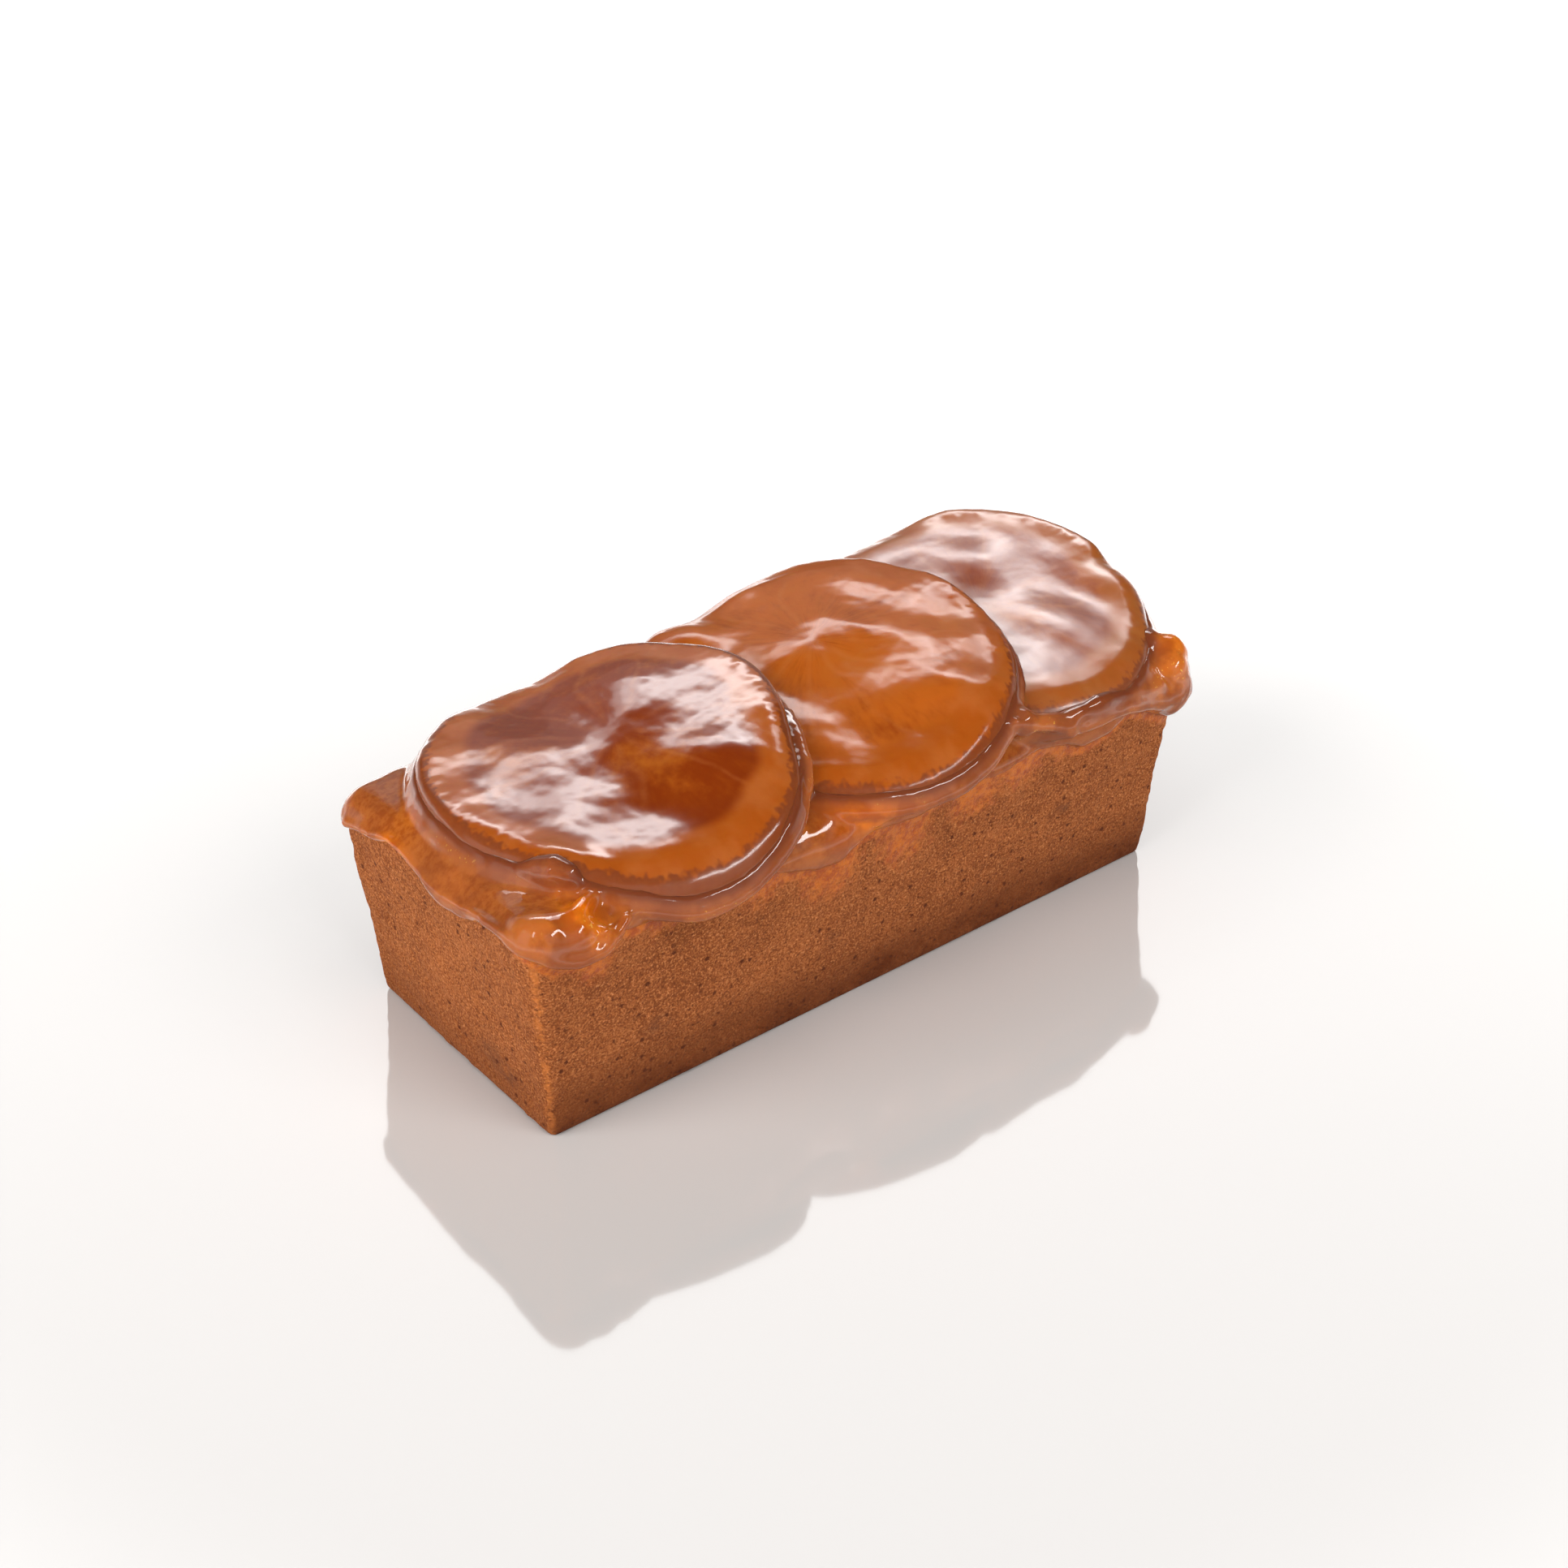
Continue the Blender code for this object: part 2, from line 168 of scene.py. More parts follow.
class Graph:
    """One shader tree, with one way to make any node."""

    def __init__(self, tree: NodeTree) -> None:
        """Keeps the tree to fill, and empties it."""
        self.tree = tree
        tree.nodes.clear()

    def node(
        self, kind: str, settings: dict[str, object] | None = None, values: Sockets | None = None
    ) -> Node:
        """Adds a node.

        Args:
            kind: The node's type.
            settings: Its own settings, which are set before its sockets.
            values: What each input socket holds, as a number, a colour, a Value or an output socket.

        Returns:
            The node.
        """
        made = self.tree.nodes.new(kind)
        for name, setting in (settings or {}).items():
            setattr(made, name, setting)
        for key, value in (values or {}).items():
            source = value.socket if isinstance(value, Value) else value
            if isinstance(source, NodeSocket):
                self.tree.links.new(source, made.inputs[key])
            else:
                made.inputs[key].default_value = source
        return made

    def place(self) -> NodeSocket:
        """The piece's own coordinates, in metres."""
        return self.node("ShaderNodeTexCoord").outputs["Object"]

    def attribute(self, name: str) -> Value:
        """A number that the mesh holds at each of its points."""
        made = self.node("ShaderNodeAttribute", {"attribute_name": name})
        return Value(self, made.outputs["Fac"])

    def parts(self, vector: NodeSocket) -> tuple[Value, Value, Value]:
        """The x, y and z of a vector."""
        x, y, z = self.node("ShaderNodeSeparateXYZ", values={"Vector": vector}).outputs
        return Value(self, x), Value(self, y), Value(self, z)

    def vector(self, x: Value | float, y: Value | float, z: Value | float) -> NodeSocket:
        """A vector from three numbers."""
        return self.node("ShaderNodeCombineXYZ", values={0: x, 1: y, 2: z}).outputs[0]

    def along(self, vector: NodeSocket, axis: Vector) -> Value:
        """How far a vector reaches along an axis."""
        made = self.node("ShaderNodeVectorMath", {"operation": "DOT_PRODUCT"}, {0: vector, 1: axis})
        return Value(self, made.outputs["Value"])

    def noise(self, place: NodeSocket, size: float, detail: float = 2.0, roughness: float = 0.5) -> Value:
        """Smooth noise from about 0.3 to 0.7, its grains a size apart, with finer layers over them."""
        values = {"Vector": place, "Scale": 1.0 / size, "Detail": detail, "Roughness": roughness}
        return Value(self, self.node("ShaderNodeTexNoise", values=values).outputs[0])

    def cells(self, place: NodeSocket, size: float) -> Value:
        """The distance to the nearest of many scattered points, in shares of their spacing."""
        made = self.node("ShaderNodeTexVoronoi", values={"Vector": place, "Scale": 1.0 / size})
        return Value(self, made.outputs["Distance"])

    def blend(self, share: Value, low: object, high: object) -> NodeSocket:
        """Mixes two colours or their sockets; the share is how much of the second there is."""
        low, high = ((*end, 1.0) if isinstance(end, tuple) else end for end in (low, high))
        return self.node("ShaderNodeMix", {"data_type": "RGBA"}, {0: share, 6: low, 7: high}).outputs[2]

    def bump(self, height: Value, distance: float, strength: float) -> NodeSocket:
        """A normal bent by a height, which is given in shares of a distance in metres."""
        values = {"Strength": strength, "Distance": distance, "Height": height}
        return self.node("ShaderNodeBump", values=values).outputs["Normal"]


@dataclass(frozen=True)
class Finish:
    """A finish that is one Principled shader."""

    name: str

    def sockets(self, graph: Graph) -> Sockets:
        """What each of the shader's sockets holds, given the graph to build in."""
        raise NotImplementedError

    def make(self) -> Material:
        """Makes the finish's material.

        Returns:
            The material.
        """
        made = bpy.data.materials.new(self.name)
        made.use_nodes = True
        graph = Graph(made.node_tree)
        shader = graph.node("ShaderNodeBsdfPrincipled", values=self.sockets(graph))
        graph.node("ShaderNodeOutputMaterial", values={"Surface": shader.outputs[0]})
        return made


@dataclass(frozen=True)
class CrustFinish(Finish):
    """Baked crumb: fine pores with painted shade in them, darker towards the base (partly the baked colour,
    partly painted shade near the table), a painted highlight along the upright edges, and glossy and orange
    where jelly has soaked in.
    """

    name: str = "baked_crumb"
    dark: Colour = (0.22, 0.059, 0.015)
    middle: Colour = (0.415, 0.127, 0.036)
    light: Colour = (0.72, 0.29, 0.105)
    # Painted shade in the pores
    pore_shade: Colour = (0.09, 0.019, 0.005)
    # Painted highlight along the upright edges
    edge: Colour = (0.62, 0.19, 0.042)
    soaked: Colour = (0.58, 0.145, 0.009)
    soaked_dark: Colour = (0.38, 0.066, 0.004)
    smudge: Colour = (0.15, 0.05, 0.022)
    # Darker towards the base: partly the baked colour, partly painted shade near the table
    base: Colour = (0.125, 0.028, 0.0055)

    def colour(self, graph: Graph, place: NodeSocket, wet: Value) -> NodeSocket:
        """The crumb's colour.

        Args:
            graph: The graph to build in.
            place: The loaf's own coordinates.
            wet: How much jelly has soaked in.

        Returns:
            The colour.
        """
        x, _, height = graph.parts(place)
        fine = graph.noise(place, 0.42 * MM, 3.0, 0.65)
        grain = graph.noise(place, 1.5 * MM, 3.0, 0.6)
        patch = graph.noise(place, 9.0 * MM, 2.0, 0.5)
        toast = (fine * 0.90 + grain * 0.20 + patch * 0.15 - 0.125).rising(0.40, 0.58)
        colour = graph.blend(toast, self.dark, self.middle)
        colour = graph.blend(fine.rising(0.55, 0.74) * 0.85, colour, self.light)
        # Painted highlight along the upright edges, broken up by noise
        rim = graph.attribute("edge")
        broken = graph.noise(place, 1.7 * MM, 3.0, 0.6)
        colour = graph.blend((rim * (broken * 4.0 - 1.35)).rising(0.10, 0.80) * 0.6, colour, self.edge)
        # Darker towards the base, less so on the left end face: partly the baked colour, partly painted
        # shade near the table
        end = x.falling(-74.8 * MM, -73.5 * MM)
        base = height.falling(0.0, 17.0 * MM) * (patch * 1.2 + grain * 1.1 + fine * 1.2 - 0.9)
        colour = graph.blend(base * (0.95 - end * 0.5), colour, self.base)
        smudge = graph.attribute("smudge")
        colour = graph.blend(smudge * 0.75, colour, self.smudge)
        # Painted shade in the crumb's pores and larger pits
        pores = graph.cells(place, 1.1 * MM).falling(0.12, 0.34) * grain.falling(0.40, 0.56)
        large = (graph.cells(place, 3.2 * MM) + (fine - 0.5) * 0.16).falling(0.08, 0.21)
        colour = graph.blend((pores * 0.6).larger(large * 0.9), colour, self.pore_shade)
        mottle = (grain * 0.7 + fine * 0.3).rising(0.38, 0.60)
        jelly = graph.blend(mottle, self.soaked_dark, self.soaked)
        return graph.blend(wet, colour, jelly)

    def sockets(self, graph: Graph) -> Sockets:
        """What the shader's sockets hold.

        Args:
            graph: The graph to build in.

        Returns:
            What each socket holds.
        """
        place = graph.place()
        soak = graph.attribute("wet")
        ragged = graph.noise(place, 1.8 * MM, 3.0, 0.6)
        wet = (soak + (ragged - 0.5) * 1.1 * soak.falling(0.9, 1.0)).rising(0.34, 0.95)
        fine = graph.noise(place, 0.42 * MM, 3.0, 0.7)
        grain = graph.noise(place, 1.3 * MM, 2.0, 0.6)
        hollow = graph.cells(place, 1.25 * MM).falling(0.10, 0.40)
        height = (fine * 0.55 + grain * 0.8 - hollow * 0.45) * (1.0 - wet * 0.55)
        return {
            "Base Color": self.colour(graph, place, wet),
            "Roughness": 0.92 - wet * 0.62,
            "Coat Weight": wet * 0.4,
            "Coat Roughness": 0.14,
            "Specular IOR Level": 0.24,
            "Subsurface Weight": 0.10,
            "Subsurface Radius": (1.0, 0.35, 0.15),
            "Subsurface Scale": 1.5 * MM,
            "Normal": graph.bump(height, 0.55 * MM, 0.75),
        }


@dataclass(frozen=True)
class OrangeFinish(Finish):
    """Candied orange: dark rind, caramel pith and amber flesh with pale membranes, under smooth jelly, with
    painted shade where the edge turns under.
    """

    segments: int
    heart: Pair
    glow: float
    coat_weight: float
    coat_roughness: float
    coat_index: float = 1.45
    flesh_dark: Colour = (0.20, 0.027, 0.002)
    flesh: Colour = (0.27, 0.049, 0.0035)
    flesh_light: Colour = (0.42, 0.108, 0.010)
    membrane: Colour = (0.52, 0.17, 0.045)
    pith: Colour = (0.355, 0.074, 0.006)
    pith_pale: Colour = (0.395, 0.098, 0.016)
    rind: Colour = (0.17, 0.036, 0.010)
    # Painted shade where the edge turns under, at its foot
    foot_shade: Colour = (0.11, 0.022, 0.010)
    side: Colour = (0.175, 0.042, 0.015)
    edge_from: float = 0.970

    def colour(self, graph: Graph) -> NodeSocket:
        """The slice's colour over its flat coordinates, in which the outline's radius is 1.

        Args:
            graph: The graph to build in.

        Returns:
            The colour.
        """
        flat = graph.node("ShaderNodeAttribute", {"attribute_name": "flat"}).outputs["Vector"]
        x, y, facing = graph.parts(flat)
        level = graph.vector(x, y, 0.0)
        reach = (x * x + y * y) ** 0.5
        from_heart_x = x - self.heart[0]
        from_heart_y = y - self.heart[1]
        distance = (from_heart_x * from_heart_x + from_heart_y * from_heart_y) ** 0.5
        turn = from_heart_y.combined("ARCTAN2", from_heart_y, from_heart_x)
        wobble = graph.noise(flat, 0.42, 1.0) - 0.5
        phase = turn * (0.5 * self.segments) + wobble * 4.0
        ridge = abs(phase.combined("SINE", phase))
        edge = 0.785 - (1.0 - ridge) * 0.035 + wobble * 0.05
        inside = (edge - reach).rising(-0.035, 0.055)
        cosine = turn.combined("COSINE", turn)
        sine = turn.combined("SINE", turn)
        streaks = graph.noise(graph.vector(cosine, sine, distance * 0.55), 0.075, 2.0, 0.6)
        sacs = graph.noise(level, 0.11, 3.0, 0.6)
        depth = graph.noise(level, 0.55, 2.0, 0.5)
        juice = (streaks * 0.45 + sacs * 0.30 + depth * 0.60 + self.glow - 0.20).rising(0.33, 0.80)
        flesh = graph.blend(juice, self.flesh_dark, self.flesh)
        flesh = graph.blend((sacs * 0.3 + depth * 0.9).rising(0.62, 0.85) * 0.8, flesh, self.flesh_light)
        wall = (ridge * distance).falling(0.0, 0.17) * distance.rising(0.03, 0.16)
        core = distance.falling(0.0, 0.08)
        skin = (wall * 0.30).larger(core * 0.12) * (sacs * 1.2 + depth * 1.2 - 0.75)
        flesh = graph.blend(skin, flesh, self.membrane)
        cloud = graph.noise(level, 0.28, 3.0, 0.55)
        pith = graph.blend(cloud.rising(0.42, 0.66), self.pith, self.pith_pale)
        colour = graph.blend(inside, pith, flesh)
        ragged = reach + (graph.noise(level, 0.040, 1.0) - 0.5) * 0.09
        beyond = ragged.rising(self.edge_from - 0.02, self.edge_from + 0.015)
        colour = graph.blend(beyond * (0.45 + cloud * 0.6), colour, self.side)
        notch = beyond * ragged.falling(self.edge_from, self.edge_from + 0.035)
        colour = graph.blend(notch * (depth * 1.6 - 0.3), colour, self.rind)
        # Painted shade where the surface turns down, at the foot of the rolled edge and under it
        return graph.blend(facing.falling(0.02, 0.30) * 0.9, colour, self.foot_shade)

    def sockets(self, graph: Graph) -> Sockets:
        """What each of the shader's sockets holds."""
        ripple = graph.noise(graph.place(), 1.1 * MM, 2.0, 0.5)
        return {
            **UNDER_JELLY,
            "Base Color": self.colour(graph),
            "Subsurface Weight": 0.30,
            "Coat Weight": self.coat_weight,
            "Coat Roughness": self.coat_roughness,
            "Coat IOR": self.coat_index,
            "Normal": graph.bump(ripple, 0.12 * MM, 0.5),
        }


@dataclass(frozen=True)
class JellyFinish(Finish):
    """Amber jelly: it shows the crumb where it is thin and has a painted golden glow where it is thick; its
    thin edges carry a painted pale reflection, and near the slices it has painted shade and a painted mauve
    reflection tint.
    """

    name: str = "amber_jelly"
    thin: Colour = (0.36, 0.095, 0.018)
    thin_dark: Colour = (0.26, 0.056, 0.009)
    amber: Colour = (0.40, 0.112, 0.026)
    amber_dark: Colour = (0.26, 0.066, 0.018)
    # Painted golden glow of light through thick jelly
    gold: Colour = (0.80, 0.19, 0.004)
    gold_dark: Colour = (0.50, 0.096, 0.0025)
    # The thin film's edge, with a painted pale reflection
    brink_reflection: Colour = (0.38, 0.135, 0.065)
    # Painted shade with a painted mauve reflection tint, near the slices
    mauve: Colour = (0.25, 0.068, 0.028)
    # Painted shade in the crease where the jelly meets the slices
    crease_shade: Colour = (0.15, 0.034, 0.013)
    fleck: Colour = (0.80, 0.42, 0.06)

    def colour(self, graph: Graph) -> NodeSocket:
        """The jelly's colour.

        Args:
            graph: The graph to build in.

        Returns:
            The colour.
        """
        place = graph.place()
        depth = graph.attribute("depth")
        grain = graph.noise(place, 1.3 * MM, 3.0, 0.6)
        cloud = graph.noise(place, 7.0 * MM, 2.0, 0.5)
        crumb = graph.blend(grain.rising(0.36, 0.62), self.thin_dark, self.thin)
        tone = (cloud * 0.8 + grain * 0.2).rising(0.40, 0.60)
        golden = graph.attribute("golden")
        amber = graph.blend(tone, self.amber_dark, self.amber)
        # Painted golden glow where the jelly is thick
        gold = graph.blend(tone, self.gold_dark, self.gold)
        colour = graph.blend(depth.rising(0.10, 0.55), crumb, graph.blend(golden, amber, gold))
        speck = graph.noise(place, 0.8 * MM, 2.0, 0.6).rising(0.63, 0.70) * cloud.rising(0.48, 0.60)
        colour = graph.blend(speck * depth.rising(0.40, 0.80) * 0.8, colour, self.fleck)
        # Painted pale reflection on the thin film at the jelly's edges, less where it glows golden
        brink_reflection_share = depth.falling(0.02, 0.17) * (0.45 + cloud * 0.6) * (1.0 - golden * 0.7)
        colour = graph.blend(brink_reflection_share, colour, self.brink_reflection)
        gap = graph.attribute("gap")
        # Painted shade with a painted mauve reflection tint, in the jelly near the slices
        colour = graph.blend(gap.falling(0.10, 0.60) * (0.30 + cloud * 0.6), colour, self.mauve)
        # Painted shade in the crease where the jelly meets the slices
        return graph.blend(gap.falling(0.05, 0.25) * 0.85, colour, self.crease_shade)

    def sockets(self, graph: Graph) -> Sockets:
        """What each of the shader's sockets holds."""
        ripple = graph.noise(graph.place(), 2.6 * MM, 2.0, 0.5)
        return {
            **UNDER_JELLY,
            "Base Color": self.colour(graph),
            "Subsurface Weight": 0.35,
            "Coat Weight": 1.0,
            "Coat Roughness": 0.07,
            "Coat IOR": 1.45,
            "Normal": graph.bump(ripple, 0.2 * MM, 0.4),
        }


@dataclass(frozen=True)
class FloorFinish(Finish):
    """A pale table, glossy enough for a faint reflection, which turns white away from the cake."""

    name: str = "pale_table"
    pale: Colour = (0.60, 0.574, 0.554)
    white_from: float = 0.16
    white_to: float = 0.36

    def sockets(self, graph: Graph) -> Sockets:
        """What the shader's sockets hold.

        Args:
            graph: The graph to build in.

        Returns:
            What each socket holds.
        """
        x, y, _ = graph.parts(graph.place())
        away = (x * x + y * y) ** 0.5
        far = away.rising(self.white_from, self.white_to)
        return {
            "Base Color": (*self.pale, 1.0),
            "Roughness": 0.06,
            "Specular IOR Level": 0.8,
            "Emission Color": graph.blend(far, (0.0, 0.0, 0.0), (1.0, 1.0, 1.0)),
            "Emission Strength": 1.0,
        }


def welded(source: Object) -> BMesh:
    """A copy of a solid's mesh with its loose triangles joined.

    Args:
        source: The solid.

    Returns:
        The joined mesh.
    """
    bm = bmesh.new()
    bm.from_mesh(source.data)
    bmesh.ops.remove_doubles(bm, verts=bm.verts, dist=WELD)
    return bm


def as_mesh(name: str, bm: BMesh) -> Mesh:
    """Turns a bmesh into a mesh.

    Args:
        name: The mesh's name.
        bm: The bmesh, which is used up.

    Returns:
        The mesh.
    """
    mesh = bpy.data.meshes.new(name)
    bm.to_mesh(mesh)
    bm.free()
    return mesh


def add_mesh(bm: BMesh, mesh: Mesh) -> None:
    """Adds a mesh to a bmesh, and removes the mesh."""
    bm.from_mesh(mesh)
    bpy.data.meshes.remove(mesh)


def evaluated(holder: Object) -> BMesh:
    """What an object's modifier or its curve makes, as a bmesh.

    Args:
        holder: The object, which is removed.

    Returns:
        Its finished mesh.
    """
    bpy.context.scene.collection.objects.link(holder)
    view = bpy.context.evaluated_depsgraph_get()
    bm = bmesh.new()
    add_mesh(bm, bpy.data.meshes.new_from_object(holder.evaluated_get(view)))
    bpy.data.objects.remove(holder)
    return bm


def modified(bm: BMesh, kind: str, settings: dict[str, object], hidden: Sequence[int] = ()) -> BMesh:
    """Puts a mesh through one modifier.

    Args:
        bm: The mesh, which is used up.
        kind: The modifier's type.
        settings: Its settings.
        hidden: The numbers of the points in the group "hidden", where the settings name it.

    Returns:
        The changed mesh.
    """
    mesh = as_mesh("modified", bm)
    holder = bpy.data.objects.new("modified", mesh)
    holder.vertex_groups.new(name="hidden").add(hidden, 1.0, "REPLACE")
    modifier = holder.modifiers.new(kind, kind)
    for name, setting in settings.items():
        setattr(modifier, name, setting)
    made = evaluated(holder)
    bpy.data.meshes.remove(mesh)
    return made


def even_skin(bm: BMesh, cell: float, rounds: int) -> BMesh:
    """Joins closed, overlapping shapes under one even skin, and lets it settle as a liquid does.

    Args:
        bm: The closed shapes, which are used up.
        cell: The size of the skin's faces.
        rounds: How many times each point moves towards its neighbours.

    Returns:
        The skin.
    """
    skin = modified(bm, "REMESH", {"mode": "VOXEL", "voxel_size": cell})
    for _ in range(rounds):
        bmesh.ops.smooth_vert(
            skin, verts=skin.verts, factor=0.5, use_axis_x=True, use_axis_y=True, use_axis_z=True
        )
    skin.normal_update()
    return skin


def add_tube(bm: BMesh, points: Sequence[Vector], radii: Sequence[float], closed: bool) -> None:
    """Adds a round rope of jelly to a mesh.

    Args:
        bm: The mesh that it joins.
        points: The middle of the rope, point by point.
        radii: The rope's radius at each point.
        closed: Whether its end meets its start.
    """
    curve = bpy.data.curves.new("rope", "CURVE")
    curve.dimensions = "3D"
    curve.bevel_depth = 1.0
    curve.bevel_resolution = 3
    curve.use_fill_caps = not closed
    spline = curve.splines.new("POLY")
    spline.points.add(len(points) - 1)
    for knot, point, radius in zip(spline.points, points, radii):
        knot.co = (*point, 1.0)
        knot.radius = radius
    spline.use_cyclic_u = closed
    rope = evaluated(bpy.data.objects.new("rope", curve))
    bpy.data.curves.remove(curve)
    bmesh.ops.remove_doubles(rope, verts=rope.verts, dist=WELD)
    add_mesh(bm, as_mesh("rope", rope))


def uneven(place: Vector, size: float, seed: float) -> float:
    """Smooth noise, mostly from -1 to 1, its hills a size apart. The seed picks one of many patterns."""
    return 2.0 * noise.noise(place / size + Vector((seed, -1.7 * seed, 0.6 * seed)))


def smooth_step(value: float, low: float, high: float) -> float:
    """0 below low, 1 above high, and a smooth rise between."""
    share = min(1.0, max(0.0, (value - low) / (high - low)))
    return share * share * (3.0 - 2.0 * share)


def hill(distance: float, half_width: float) -> float:
    """1 at no distance, falling smoothly to 0 at about twice the half-width."""
    return math.exp(-((distance / half_width) ** 2))


def unevenness(place: Vector, layers: Layers, seed: float = 0.0) -> float:
    """How far an uneven surface stands out at a point."""
    return sum(depth * uneven(place, size, seed + size / MM) for size, depth in layers)


def nearness(place: Vector, spots: Sequence[Spot]) -> float:
    """How near a point is to the nearest of some spots, from 0 to 1."""
    return max(hill((place / MM - Vector(spot[:3])).length, spot[3]) for spot in spots)


def dressed(name: str, bm: BMesh, finish: Finish, node: Object) -> Object:
    """Makes a finished piece of a mesh and enters it in the frame.

    Args:
        name: The piece's name.
        bm: Its mesh, which is used up.
        finish: Its finish.
        node: The solid that it stands for.

    Returns:
        The piece.
    """
    mesh = as_mesh(name, bm)
    mesh.shade_smooth()
    mesh.materials.append(finish.make())
    piece = bpy.data.objects.new(name, mesh)
    bpy.context.scene.collection.objects.link(piece)
    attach(piece, BODY)
    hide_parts(node.name)
    LOG.info("%s: %d faces", name, len(mesh.polygons))
    return piece


@dataclass
class Loaf:
    """The baked loaf, with its crumb as relief."""

    node: Object
    glaze_node: Object
    cell: float = 0.8 * MM
    skin_rounds: int = 2
    crumb: Layers = ((1.7 * MM, 0.10 * MM), (3.6 * MM, 0.10 * MM), (9.0 * MM, 0.14 * MM))
    # The relief fades out between these heights over the base
    foot: Pair = (0.2 * MM, 1.2 * MM)
    # The upright edges crumble: how high, how far apart, and how far from the edge, which is also how wide
    # the crust's painted edge highlight is
    edge_crumb: float = 0.22 * MM
    edge_grain: float = 1.9 * MM
    edge_reach: float = 1.9 * MM
    pit_spacing: float = 5.2 * MM
    pit_radius: float = 0.75 * MM
    pit_depth: float = 0.45 * MM
    # How far from the glaze the crumb is soaked through, and how far it is soaked at all
    soak: Pair = (0.8 * MM, 4.0 * MM)
    # Jelly soaks in fully only at the long front face, which starts between these distances
    front: Pair = (25.0 * MM, 31.0 * MM)
    half_base: Pair = (75.0 * MM, 29.3 * MM)
    flare: Pair = (0.084, 0.078)
    # Where jelly has run down the crumb, left to right
    soaks: tuple[Spot, ...] = (
        (-66, -33, 36, 5), (-52, -33, 40, 6), (-30, -33, 39, 9), (-14, -33, 34, 9),
        (4, -33, 34, 9), (22, -33, 37, 9), (34, -33, 39, 8), (46, -33, 40, 7),
    )
    # Dark smudges in the crumb, and how far apart their clouds are
    smudges: tuple[Spot, ...] = (
        (-76, -13, 9, 3.4), (-76, -17, 7, 2.6), (-52, -30, 15, 2.4), (-12, -30, 16, 1.8),
        (47, -31, 22, 1.8),
    )
    smudge_grain: float = 1.5 * MM

    def edge(self, place: Vector) -> float:
        """How near a point is to one of the four upright edges, from 0 to 1."""
        walls = zip(self.half_base, self.flare, place)
        depth = max(half + flare * place.z - abs(out) for half, flare, out in walls)
        return 1.0 - smooth_step(depth, 0.3 * self.edge_reach, self.edge_reach)

    def relief(self, place: Vector, edge: float) -> float:
        """How far the crumb stands out at a point.

        Args:
            place: The point.
            edge: How near it is to an upright edge.

        Returns:
            The height of the relief.
        """
        height = unevenness(place, self.crumb)
        gap = noise.voronoi(place / self.pit_spacing)[0][0] * self.pit_spacing
        height -= self.pit_depth * (1.0 - smooth_step(gap, 0.2 * self.pit_radius, self.pit_radius))
        height *= 1.0 - 0.5 * edge
        height += edge * self.edge_crumb * (uneven(place, self.edge_grain, 4.4) - 0.4)
        return height * smooth_step(place.z, *self.foot)

    def build(self) -> Object:
        """Makes the loaf.

        Returns:
            The piece.
        """
        glaze = BVHTree.FromBMesh(welded(self.glaze_node))
        bm = even_skin(welded(self.node), self.cell, self.skin_rounds)
        numbers = bm.verts.layers.float
        wet, edge, smudge = (numbers.new(name) for name in ("wet", "edge", "smudge"))
        moves = []
        for vert in bm.verts:
            place = vert.co.copy()
            # How near the upright edges: it crumbles the relief and places the crust's painted edge
            # highlight
            vert[edge] = self.edge(place)
            distance = glaze.find_nearest(place)[3]
            soak = 1.0 - smooth_step(distance, *self.soak)
            soak *= 0.3 + 0.7 * smooth_step(-place.y, *self.front)
            vert[wet] = max(soak, nearness(place, self.soaks))
            cloudy = 0.7 + 0.6 * uneven(place, self.smudge_grain, 2.0)
            vert[smudge] = max(0.0, nearness(place, self.smudges) * cloudy)
            moves.append(vert.normal * self.relief(place, vert[edge]))
        for vert, move in zip(bm.verts, moves):
            vert.co += move
            vert.co.z = max(0.0, vert.co.z)
        return dressed("loaf_crumb", bm, CrustFinish(), self.node)


@dataclass
class Dent:
    """A rise or dip of a slice: where it is, how high, and how wide, in millimetres."""

    x: float
    y: float
    height: float
    half_width: float

    def nearness(self, place: Vector) -> float:
        """How near a point is to the middle, from 0 to 1."""
        return hill(math.hypot(place.x - self.x * MM, place.y - self.y * MM), self.half_width * MM)


